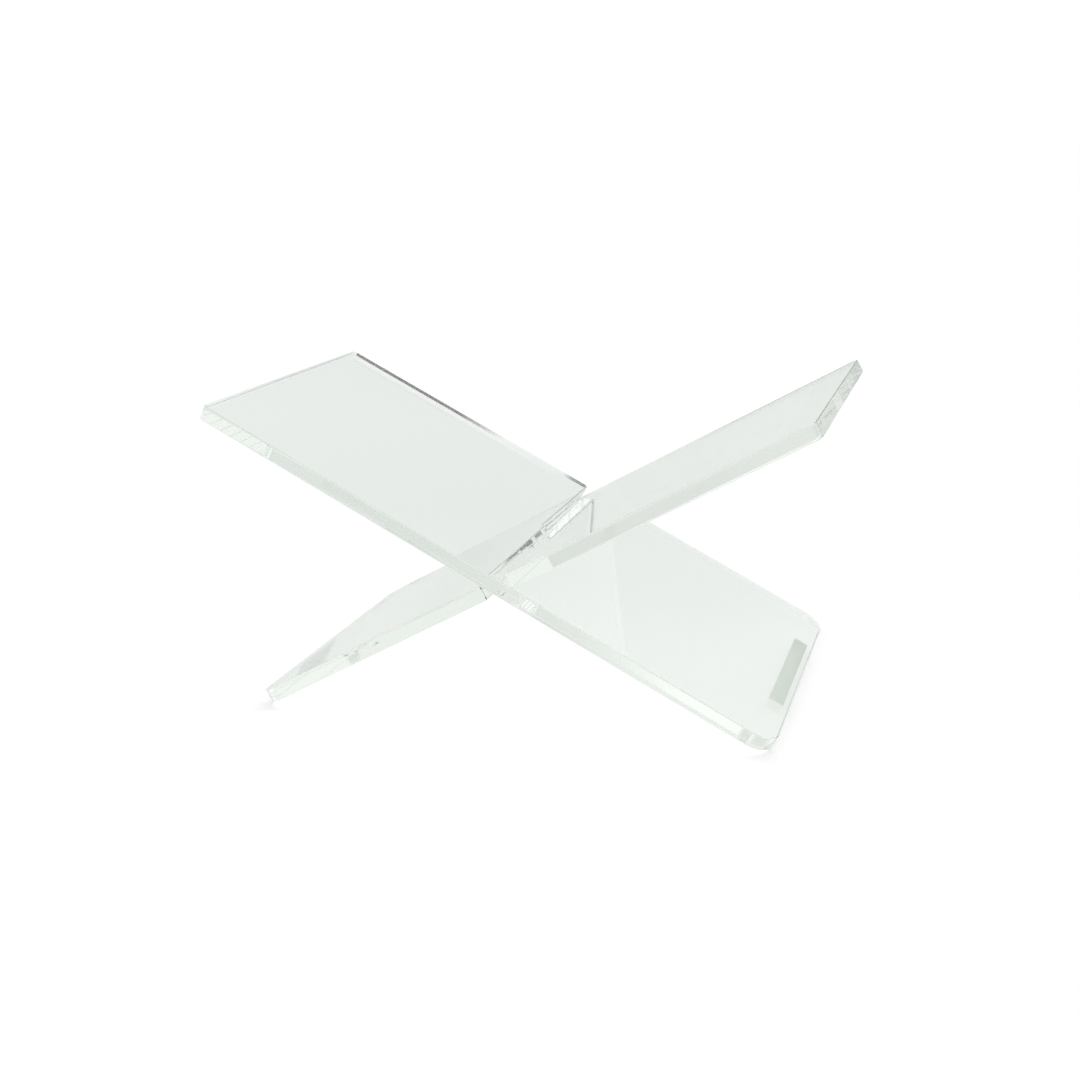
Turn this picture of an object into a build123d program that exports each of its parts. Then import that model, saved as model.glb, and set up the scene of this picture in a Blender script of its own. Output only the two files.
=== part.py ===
from build123d import *
from build123d.topology import SkipClean
import math
import os

# A tabletop book stand: two clear acrylic panels crossed in an X. Each panel has a slot cut halfway
# across it, one from the rear edge and one from the front edge, and the slots slide into each other.
# Lengths are in millimetres and angles in degrees. The stand rests on Z = 0, the crossing runs along Y
# above the origin, X runs from foot to foot, and the front edges face -Y.

# Driving dimensions
SHEET = 10.0  # thickness of the clear sheet
DEPTH = 240.0  # each panel, from its front edge to its rear edge
UPPER_LENGTH = 234.0  # from the crossing to the upper end, along the panel
LOWER_LENGTH = 205.0  # from the crossing to the foot, along the panel
SLOPE = 28.2  # each panel's angle to the table
FOOT_CORNER = 18.0  # radius of the two corners at the foot
TOP_CORNER = 4.0  # radius of the two corners at the upper end
ARRIS = 0.6  # radius polished on every edge of both faces
MOUTH_CORNER = 1.5  # radius on the two corners at a slot's open end
SLOT_CORNER = 1.0  # radius in the two corners at a slot's closed end
WALL_CLEARANCE = 0.5  # between a slot's wall and the panel in it, along the slotted panel
END_CLEARANCE = 0.25  # from the middle of the depth to a slot's closed end
REST_MARGIN = 2.0  # from the slot's wall to where the upper arm's face starts

# A panel that crosses a slotted sheet needs the sheet's thickness over the tangent of half the angle
# between the two, and half that angle is the slope. So the slots also stop the X from spreading.
SLOT_WIDTH = SHEET / math.tan(math.radians(SLOPE)) + 2 * WALL_CLEARANCE


def outline():
    """The outline of a panel slotted from its front edge, foot at -X, upper end at +X, crossing at 0."""
    front, rear, slot_end = -DEPTH / 2, DEPTH / 2, END_CLEARANCE
    corners = [
        (-LOWER_LENGTH, front, FOOT_CORNER),
        (-SLOT_WIDTH / 2, front, MOUTH_CORNER),
        (-SLOT_WIDTH / 2, slot_end, SLOT_CORNER),
        (SLOT_WIDTH / 2, slot_end, SLOT_CORNER),
        (SLOT_WIDTH / 2, front, MOUTH_CORNER),
        (UPPER_LENGTH, front, TOP_CORNER),
        (UPPER_LENGTH, rear, TOP_CORNER),
        (-LOWER_LENGTH, rear, FOOT_CORNER),
    ]
    edge = FilletPolyline(*[(x, y) for x, y, _ in corners], radius=[r for _, _, r in corners], close=True)
    return make_face(edge)


def panel():
    """A flat panel centred on its own mid-plane, slotted from the front, with polished edges."""
    sheet = extrude(outline(), SHEET / 2, both=True)
    return fillet(sheet.faces().filter_by(Axis.Z).edges(), ARRIS)


def with_rest_face(flat_panel):
    """The same panel, with the part of its faces above the crossing, where a book lies, set apart."""
    start = Plane((SLOT_WIDTH / 2 + REST_MARGIN, 0, 0), z_dir=(1, 0, 0))
    upper_arm = split(flat_panel, bisect_by=start, keep=Keep.TOP)
    rest = split(flat_panel, bisect_by=start, keep=Keep.BOTTOM)
    with SkipClean():
        return upper_arm + rest


def stand():
    """Both panels by node name, crossed at the slope and raised until their feet touch Z = 0."""
    flat = with_rest_face(panel())
    panels = {
        "left_rest_panel": Rot(0, SLOPE, 0) * Rot(0, 0, 180) * flat,
        "right_rest_panel": Rot(0, -SLOPE, 0) * flat,
    }
    crossing_height = -min(shape.bounding_box().min.Z for shape in panels.values())
    return {name: Pos(0, 0, crossing_height) * shape for name, shape in panels.items()}, crossing_height


parts, height = stand()
os.makedirs("parts", exist_ok=True)
for name, shape in parts.items():
    export_step(shape, f"parts/{name}.step")
box = Compound(children=list(parts.values())).bounding_box()
print(f"crossing {height:.2f} mm up, slot {SLOT_WIDTH:.2f} mm wide")
print(f"overall {box.size.X:.1f} x {box.size.Y:.1f} x {box.size.Z:.1f} mm")
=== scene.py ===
import math

import bmesh
import bpy
from mathutils import Matrix, Vector


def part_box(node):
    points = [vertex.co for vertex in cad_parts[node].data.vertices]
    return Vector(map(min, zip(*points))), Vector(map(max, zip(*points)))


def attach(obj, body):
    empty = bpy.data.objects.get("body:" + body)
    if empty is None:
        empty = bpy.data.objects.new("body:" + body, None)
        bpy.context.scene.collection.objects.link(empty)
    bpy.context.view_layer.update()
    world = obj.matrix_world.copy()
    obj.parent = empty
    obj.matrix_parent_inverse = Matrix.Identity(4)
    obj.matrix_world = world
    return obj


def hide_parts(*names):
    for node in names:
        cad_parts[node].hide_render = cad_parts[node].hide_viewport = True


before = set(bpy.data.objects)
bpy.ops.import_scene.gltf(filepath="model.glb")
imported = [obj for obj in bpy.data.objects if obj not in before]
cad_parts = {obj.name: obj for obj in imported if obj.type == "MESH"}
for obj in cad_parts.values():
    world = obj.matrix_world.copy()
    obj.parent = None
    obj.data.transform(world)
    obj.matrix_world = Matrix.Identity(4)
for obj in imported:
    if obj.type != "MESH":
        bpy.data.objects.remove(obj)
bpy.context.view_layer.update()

# The panels, in metres and radians. A panel's own frame has X along it, from the foot to the upper
# end, Y along its depth and Z through its thickness, with the crossing at 0.
SHEET = 0.010
DEPTH = 0.240
UPPER_LENGTH = 0.234
LOWER_LENGTH = 0.205
SLOPE = math.radians(28.2)
FOOT_CORNER = 0.018
TOP_CORNER = 0.004
ARRIS = 0.0006
MOUTH_CORNER = 0.0015
SLOT_CORNER = 0.001
WALL_CLEARANCE = 0.0005
END_CLEARANCE = 0.00025
SLOT_WIDTH = SHEET / math.tan(SLOPE) + 2 * WALL_CLEARANCE

# How finely the rounded edges are divided
ARC_STEP = 0.0016  # length of each side of a large corner
CORNER_STEPS = 8  # least sides of any corner
ARRIS_STEPS = 6

# The acrylic's surface. Each feature's sizes are along a panel, its depth and its thickness, in metres. A
# FROM pair is where in the noise, from 0 to 1, a feature starts and is complete.
SMUDGE = (0.05, 0.05, 0.05)
SMUDGE_DETAIL = 4.0
SMUDGE_FROM = (0.52, 0.72)
HAIRLINE = (0.05, 0.0004, 0.05)
HAIRLINE_FROM = (0.79, 0.82)
HAIRLINE_TURNS = (0.3, 1.2, 2.3)  # the directions that hairlines run in, in radians
HAIRLINE_DEPTH = 0.000002
POLISH_WAVES = (0.012, 0.012, 0.04)  # left along the edges by polishing
WAVE_DEPTH = 0.00002
CUT_MARKS = (0.0015, 0.0015, 0.04)  # left across the edges by the saw
CUT_SHARE = 0.04  # their depth, as a share of the waves' depth
SMUDGE_ROUGHNESS = 0.03
HAIRLINE_ROUGHNESS = 0.08
EDGE_ROUGHNESS = 0.025

# The acrylic itself
REFRACTION = 1.491
ABSORPTION_COLOUR = (0.938, 0.953, 0.934)
ABSORPTION = 4.0  # per metre

# A plain frosted strip on the upper face of the left rest panel, beside its foot
STRIP_ALONG = (-0.2005, -0.1895)
STRIP_ACROSS = (-0.060, 0.060)
STRIP_BLUR = 0.0004
STRIP_ROUGHNESS = 0.4
STRIP_COLOUR = (0.70, 0.76, 0.70)

# The camera, placed from the crossing
CAMERA_YAW = math.radians(18.4)
CAMERA_PITCH = math.radians(16.05)
CAMERA_ROLL = math.radians(-1.97)
CAMERA_DISTANCE = 1.045
CAMERA_RIGHT = 0.0077
CAMERA_UP = 0.0017
LENS = 47.9
SENSOR = 36  # in millimetres, like the lens
BOUNCES = 64  # how often light is followed to and fro inside a panel

# The studio. The camera sees the floor and the backdrop as white, and so does light on its way to the
# floor. Light that comes by way of the panels finds the greys below, each a list of (place, grey). The floor
# has other greys for light that has been reflected inside a panel, and both it and the walls have another
# for light that a panel's surface mirrors.
WHITE = (0.97, 0.97, 0.97)
STUDIO_TINT = (0.962, 1.0, 0.965)
LIGHT = 1.05  # how bright the white surround is
FLOOR_SIZE = 60.0
FLOOR_ROUGHNESS = 0.7
FLOOR_GREYS = ((-0.2, 0.89), (0.05, 0.88), (0.2, 0.84), (0.4, 0.83), (0.8, 0.85), (1.5, 0.85))  # along Y
INNER_GREYS = ((0.1, 0.88), (0.27, 0.87), (0.37, 0.73), (0.55, 0.75), (0.9, 0.82))  # inside, along Y
# Painted dark patches for light that has been reflected inside a panel, each as X, Y and half sizes: a
# painted dark reflection in front of the stand, and the left foot's painted shadow beside and behind it
PAINTED_DARK_REFLECTION = (-0.75, -1.27, 0.95, 0.78)  # painted dark reflection, in front of the stand
PAINTED_FOOT_SHADOW = (-0.225, 0.02, 0.035, 0.035)  # painted shadow beside its left foot
PAINTED_REAR_SHADOW = (-0.198, 0.143, 0.016, 0.018)  # painted shadow behind that, beside the foot's rear corner
DARK_FROM = (1.0, 0.8)  # where a patch starts and is complete, in half sizes from its middle
WALL_GREYS = (  # along X, as the direction's component
    (-1.0, 0.90), (-0.4, 0.85), (-0.1, 0.80), (0.0, 0.81), (0.07, 0.90), (0.14, 0.97), (0.2, 1.08),
    (0.27, 1.08), (0.4, 0.94), (0.55, 0.98), (1.0, 0.98),
)
WALL_TOP = (0.5, 0.75)  # how far up, as the sine of the elevation, the walls turn into the ceiling
CEILING = (1.15, 1.15, 1.15)
UPPER_WALL = (0.77, 0.81, 0.78)
UPPER_WALL_FROM = (0.37, 0.44)  # how far up, as the sine of the elevation
FRONT_LIGHT = (1.35, 1.35, 1.35)  # a soft light in front and to the left
FRONT_LIGHT_FROM = ((0.06, -0.02), (-0.1, -0.25), (0.19, 0.27))  # by the direction's x, y and z
MIRRORED = (0.65, 0.65, 0.65)  # the upper part of the walls, as the panels mirror it
MIRRORED_FROM = (0.05, 0.4)  # how far up, as the sine of the elevation, that starts and is complete
MIRRORED_FLOOR = (0.765, 0.79, 0.76)

# The crossing is as far below the highest edge as the upper arm rises, less what its arris takes off.
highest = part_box("left_rest_panel")[1].z
rise = (UPPER_LENGTH - ARRIS) * math.sin(SLOPE) + (SHEET / 2 - ARRIS) * math.cos(SLOPE) + ARRIS
CROSSING = Vector((0, 0, highest - rise))


# ---------- panels ----------


def corner_points(point, before, after, radius, inset):
    """One right-angled corner of an outline, moved inwards by inset: points and outward normals."""
    arriving = (Vector(point) - Vector(before)).normalized()
    leaving = (Vector(after) - Vector(point)).normalized()
    convex = 1 if arriving.cross(leaving) > 0 else -1
    centre = Vector(point) - radius * arriving + radius * leaving
    first = math.atan2(-arriving.x, arriving.y)
    steps = max(CORNER_STEPS, round(radius * math.pi / 2 / ARC_STEP))
    found = []
    for i in range(steps + 1):
        angle = first + convex * (math.pi / 2) * i / steps
        normal = Vector((math.cos(angle), math.sin(angle)))
        found.append((centre + normal * (convex * radius - inset), normal))
    return found


def outline(inset):
    """The outline of a panel slotted from its front edge, moved inwards by inset."""
    front, rear = -DEPTH / 2, DEPTH / 2
    corners = [
        (-LOWER_LENGTH, front, FOOT_CORNER),
        (-SLOT_WIDTH / 2, front, MOUTH_CORNER),
        (-SLOT_WIDTH / 2, END_CLEARANCE, SLOT_CORNER),
        (SLOT_WIDTH / 2, END_CLEARANCE, SLOT_CORNER),
        (SLOT_WIDTH / 2, front, MOUTH_CORNER),
        (UPPER_LENGTH, front, TOP_CORNER),
        (UPPER_LENGTH, rear, TOP_CORNER),
        (-LOWER_LENGTH, rear, FOOT_CORNER),
    ]
    places = [corner[:2] for corner in corners]
    found = []
    for i, (x, y, radius) in enumerate(corners):
        found += corner_points((x, y), places[i - 1], places[(i + 1) % len(places)], radius, inset)
    return found


def panel_mesh(name):
    """A panel in its own frame: flat faces, straight walls and a rounded arris between them."""
    levels = []
    for side in (-1, 1):
        angles = [math.pi / 2 * i / ARRIS_STEPS for i in range(ARRIS_STEPS + 1)]
        for angle in angles if side > 0 else reversed(angles):
            height = side * (SHEET / 2 - ARRIS + ARRIS * math.sin(angle))
            levels.append((height, ARRIS * (1 - math.cos(angle)), side * angle))
    mesh = bmesh.new()
    rings, normals = [], []
    for height, inset, tilt in levels:
        ring = []
        for point, outward in outline(inset):
            ring.append(mesh.verts.new((point.x, point.y, height)))
            flat = outward * math.cos(tilt)
            normals.append((flat.x, flat.y, math.sin(tilt)))
        rings.append(ring)
    for below, above in zip(rings, rings[1:]):
        for i in range(len(below)):
            j = (i + 1) % len(below)
            mesh.faces.new((below[i], below[j], above[j], above[i]))
    mesh.faces.new(reversed(rings[0]))
    mesh.faces.new(rings[-1])
    data = bpy.data.meshes.new(name)
    mesh.to_mesh(data)
    mesh.free()
    data.polygons.foreach_set("use_smooth", [True] * len(data.polygons))
    data.normals_split_custom_set_from_vertices(normals)
    places = data.attributes.new("panel_place", "FLOAT_VECTOR", "POINT")
    places.data.foreach_set("vector", [value for vertex in data.vertices for value in vertex.co])
    return data


def place_panel(name, node, body, turn, material):
    """A panel on its body, in place of its CAD node. turn is its angle about Z before it leans."""
    panel = bpy.data.objects.new(name, panel_mesh(name))
    bpy.context.scene.collection.objects.link(panel)
    lean = Matrix.Rotation(-SLOPE, 4, "Y")
    place = Matrix.Translation(CROSSING) @ Matrix.Rotation(turn, 4, "Z") @ lean
    panel.data.transform(place)
    panel.data.materials.append(material)
    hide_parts(node)
    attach(panel, body)


# ---------- materials ----------


def node_material(name):
    """A new material with nodes, as (material, nodes, links, principled shader, output)."""
    material = bpy.data.materials.new(name)
    material.use_nodes = True
    nodes, links = material.node_tree.nodes, material.node_tree.links
    return material, nodes, links, nodes["Principled BSDF"], nodes["Material Output"]


def maths(nodes, links, operation, *values, clamp=True):
    """A Math node's result. Each value is a number or a socket."""
    found = nodes.new("ShaderNodeMath")
    found.operation = operation
    found.use_clamp = clamp
    for socket, value in zip(found.inputs, values):
        if isinstance(value, (int, float)):
            socket.default_value = value
        else:
            links.new(value, socket)
    return found.outputs[0]


def between(nodes, links, value, start, end):
    """0 where value is at start and 1 at end, with a smooth change between."""
    found = nodes.new("ShaderNodeMapRange")
    found.interpolation_type = "SMOOTHSTEP"
    links.new(value, found.inputs["Value"])
    found.inputs["From Min"].default_value = start
    found.inputs["From Max"].default_value = end
    return found.outputs["Result"]


def separated(nodes, links, vector):
    parts = nodes.new("ShaderNodeSeparateXYZ")
    links.new(vector, parts.inputs[0])
    return parts.outputs


def mixed(nodes, links, factor, first, second):
    """first where factor is 0 and second where it is 1. Each is a colour or a socket."""
    mix = nodes.new("ShaderNodeMix")
    mix.data_type = "RGBA"
    links.new(factor, mix.inputs["Factor"])
    for socket, value in zip((mix.inputs[6], mix.inputs[7]), (first, second)):
        if isinstance(value, tuple):
            socket.default_value = (*value, 1)
        else:
            links.new(value, socket)
    return mix.outputs[2]


def noise(nodes, links, place, sizes, turn=0.0, detail=0.0):
    """Noise whose features have the given sizes in metres along a panel, turned about its thickness."""
    mapping = nodes.new("ShaderNodeMapping")
    mapping.vector_type = "TEXTURE"
    mapping.inputs["Rotation"].default_value = (0, 0, turn)
    mapping.inputs["Scale"].default_value = sizes
    links.new(place, mapping.inputs["Vector"])
    found = nodes.new("ShaderNodeTexNoise")
    found.inputs["Scale"].default_value = 1.0
    found.inputs["Detail"].default_value = detail
    links.new(mapping.outputs["Vector"], found.inputs["Vector"])
    return found.outputs["Fac"]


def clear_acrylic(name, with_strip=False):
    """Clear cast sheet: polished faces with faint smudges and hairlines, and wavier, softer edges."""
    material, nodes, links, shader, output = node_material(name)
    shader.inputs["Base Color"].default_value = (1, 1, 1, 1)
    shader.inputs["Transmission Weight"].default_value = 1.0
    shader.inputs["IOR"].default_value = REFRACTION
    own = nodes.new("ShaderNodeAttribute")
    own.attribute_name = "panel_place"
    place = own.outputs["Vector"]

    def combine(operation, *values, clamp=True):
        return maths(nodes, links, operation, *values, clamp=clamp)

    x, y, z = separated(nodes, links, place)
    height = combine("ABSOLUTE", z)
    edge = between(nodes, links, height, SHEET / 2, SHEET / 2 - ARRIS)
    smudge = noise(nodes, links, place, SMUDGE, detail=SMUDGE_DETAIL)
    smudge = between(nodes, links, smudge, *SMUDGE_FROM)
    hairlines = 0.0
    for turn in HAIRLINE_TURNS:
        line = between(nodes, links, noise(nodes, links, place, HAIRLINE, turn), *HAIRLINE_FROM)
        hairlines = combine("MAXIMUM", hairlines, line)
    haze = combine("MULTIPLY", smudge, SMUDGE_ROUGHNESS)
    haze = combine("MULTIPLY_ADD", hairlines, HAIRLINE_ROUGHNESS, haze)
    roughness = combine("MULTIPLY_ADD", edge, EDGE_ROUGHNESS, haze)
    if with_strip:
        strip = between(nodes, links, z, SHEET / 2 - ARRIS / 2, SHEET / 2)
        for value, (start, end) in ((x, STRIP_ALONG), (y, STRIP_ACROSS)):
            strip = combine("MULTIPLY", strip, between(nodes, links, value, start, start + STRIP_BLUR))
            strip = combine("MULTIPLY", strip, between(nodes, links, value, end, end - STRIP_BLUR))
        roughness = combine("MULTIPLY_ADD", strip, STRIP_ROUGHNESS, roughness)
        links.new(mixed(nodes, links, strip, (1.0, 1.0, 1.0), STRIP_COLOUR), shader.inputs["Base Color"])
    links.new(roughness, shader.inputs["Roughness"])

    waves = noise(nodes, links, place, POLISH_WAVES)
    marks = combine("MULTIPLY_ADD", noise(nodes, links, place, CUT_MARKS), CUT_SHARE, waves, clamp=False)
    relief = combine("MULTIPLY", marks, edge, clamp=False)
    relief = combine("MULTIPLY_ADD", hairlines, -HAIRLINE_DEPTH / WAVE_DEPTH, relief, clamp=False)
    bump = nodes.new("ShaderNodeBump")
    bump.inputs["Distance"].default_value = WAVE_DEPTH
    links.new(relief, bump.inputs["Height"])
    links.new(bump.outputs["Normal"], shader.inputs["Normal"])

    absorb = nodes.new("ShaderNodeVolumeAbsorption")
    absorb.inputs["Color"].default_value = (*ABSORPTION_COLOUR, 1)
    absorb.inputs["Density"].default_value = ABSORPTION
    links.new(absorb.outputs["Volume"], output.inputs["Volume"])
    return material


# ---------- studio ----------


def add_camera():
    """The photograph's viewpoint: to the right of the front and a little above the stand."""
    across = Vector((math.cos(CAMERA_YAW), math.sin(CAMERA_YAW), 0))
    level = Vector((-math.sin(CAMERA_YAW), math.cos(CAMERA_YAW), 0))
    forward = level * math.cos(CAMERA_PITCH) - Vector((0, 0, math.sin(CAMERA_PITCH)))
    upward = across.cross(forward)
    right = across * math.cos(CAMERA_ROLL) + upward * math.sin(CAMERA_ROLL)
    up = upward * math.cos(CAMERA_ROLL) - across * math.sin(CAMERA_ROLL)
    place = CROSSING - right * CAMERA_RIGHT - up * CAMERA_UP - forward * CAMERA_DISTANCE
    data = bpy.data.cameras.new("camera")
    data.lens = LENS
    data.sensor_width = SENSOR
    camera = bpy.data.objects.new("camera", data)
    bpy.context.scene.collection.objects.link(camera)
    turn = Matrix((right, up, -forward)).transposed().to_4x4()
    camera.matrix_world = Matrix.Translation(place) @ turn
    bpy.context.scene.camera = camera


def greys(nodes, links, value, stops):
    """The grey at value, from (place, grey) stops, in the studio's tint."""
    first, last = stops[0][0], stops[-1][0]
    scaled = nodes.new("ShaderNodeMapRange")
    links.new(value, scaled.inputs["Value"])
    scaled.inputs["From Min"].default_value = first
    scaled.inputs["From Max"].default_value = last
    ramp = nodes.new("ShaderNodeValToRGB")
    elements = ramp.color_ramp.elements
    while len(elements) < len(stops):
        elements.new(0.5)
    for element, (place, grey) in zip(elements, stops):
        element.position = (place - first) / (last - first)
        element.color = (*[grey * tint for tint in STUDIO_TINT], 1)
    links.new(scaled.outputs["Result"], ramp.inputs["Fac"])
    return ramp.outputs["Color"]


def offset(nodes, links, value, middle, size):
    """How far value is from middle, as a multiple of size."""
    return maths(nodes, links, "MULTIPLY_ADD", value, 1 / size, -middle / size, clamp=False)


def ways_seen(nodes, links):
    """How a stage surface is seen, each 0 or 1: directly, in a panel's surface, inside a panel.

    Directly is by the camera's own rays and by light on its way to the floor."""
    path = nodes.new("ShaderNodeLightPath").outputs
    directly = maths(nodes, links, "MAXIMUM", path["Is Camera Ray"], path["Diffuse Depth"])
    reflected = maths(nodes, links, "MINIMUM", path["Glossy Depth"], 1.0)
    mirrored = maths(nodes, links, "SUBTRACT", reflected, path["Transmission Depth"])
    inside = maths(nodes, links, "SUBTRACT", reflected, mirrored)
    return directly, mirrored, inside


def add_floor():
    mesh = bmesh.new()
    bmesh.ops.create_grid(mesh, x_segments=1, y_segments=1, size=FLOOR_SIZE / 2)
    data = bpy.data.meshes.new("floor")
    mesh.to_mesh(data)
    mesh.free()
    floor = bpy.data.objects.new("floor", data)
    bpy.context.scene.collection.objects.link(floor)
    material, nodes, links, shader, _ = node_material("pale_floor")
    geometry = nodes.new("ShaderNodeNewGeometry")
    x, y, _ = separated(nodes, links, geometry.outputs["Position"])
    directly, mirrored, inside = ways_seen(nodes, links)
    # Painted shade: the left foot's painted shadow and a painted dark reflection, black only for light
    # reflected inside a panel
    painted_dark = 0.0
    for x_middle, y_middle, x_half, y_half in (PAINTED_DARK_REFLECTION, PAINTED_FOOT_SHADOW, PAINTED_REAR_SHADOW):
        across = maths(nodes, links, "ABSOLUTE", offset(nodes, links, x, x_middle, x_half), clamp=False)
        along = maths(nodes, links, "ABSOLUTE", offset(nodes, links, y, y_middle, y_half), clamp=False)
        patch = between(nodes, links, maths(nodes, links, "MAXIMUM", across, along), *DARK_FROM)
        painted_dark = maths(nodes, links, "MAXIMUM", painted_dark, patch)
    painted_dark = maths(nodes, links, "MULTIPLY", painted_dark, inside)
    through, inner = greys(nodes, links, y, FLOOR_GREYS), greys(nodes, links, y, INNER_GREYS)
    grey = mixed(nodes, links, inside, through, inner)
    grey = mixed(nodes, links, mirrored, grey, MIRRORED_FLOOR)
    seen = mixed(nodes, links, painted_dark, grey, (0.0, 0.0, 0.0))
    colour = mixed(nodes, links, directly, seen, WHITE)
    links.new(colour, shader.inputs["Base Color"])
    shader.inputs["Roughness"].default_value = FLOOR_ROUGHNESS
    shader.inputs["Specular IOR Level"].default_value = 0.0
    floor.data.materials.append(material)


def add_world():
    world = bpy.data.worlds.new("studio")
    world.use_nodes = True
    world.cycles.sampling_method = "NONE"
    nodes, links = world.node_tree.nodes, world.node_tree.links
    place = nodes.new("ShaderNodeTexCoord")
    x, y, z = separated(nodes, links, place.outputs["Generated"])
    directly, mirrored, inside = ways_seen(nodes, links)
    upper = between(nodes, links, z, *UPPER_WALL_FROM)
    wall = mixed(nodes, links, upper, greys(nodes, links, x, WALL_GREYS), UPPER_WALL)
    front = 1.0
    for part, edges in zip((x, y, z), FRONT_LIGHT_FROM):
        front = maths(nodes, links, "MULTIPLY", front, between(nodes, links, part, *edges))
    wall = mixed(nodes, links, front, wall, FRONT_LIGHT)
    room = mixed(nodes, links, between(nodes, links, z, *WALL_TOP), wall, CEILING)
    mirror = maths(nodes, links, "MULTIPLY", mirrored, between(nodes, links, z, *MIRRORED_FROM))
    darker = mixed(nodes, links, mirror, room, MIRRORED)
    colour = mixed(nodes, links, directly, darker, (LIGHT, LIGHT, LIGHT))
    background = nodes["Background"]
    links.new(colour, background.inputs["Color"])
    background.inputs["Strength"].default_value = 1.0
    bpy.context.scene.world = world


def set_light_paths():
    """Light's paths are let run on, because it goes to and fro many times inside a clear sheet."""
    cycles = bpy.context.scene.cycles
    cycles.max_bounces = BOUNCES
    cycles.glossy_bounces = BOUNCES
    cycles.transmission_bounces = BOUNCES
    cycles.blur_glossy = 0.0
    bpy.context.scene.view_settings.view_transform = "Standard"


left_acrylic = clear_acrylic("left_clear_acrylic", with_strip=True)
right_acrylic = clear_acrylic("right_clear_acrylic")
place_panel("left_panel_acrylic", "left_rest_panel", "left_panel", math.pi, left_acrylic)
place_panel("right_panel_acrylic", "right_rest_panel", "right_panel", 0.0, right_acrylic)
add_camera()
add_floor()
add_world()
set_light_paths()
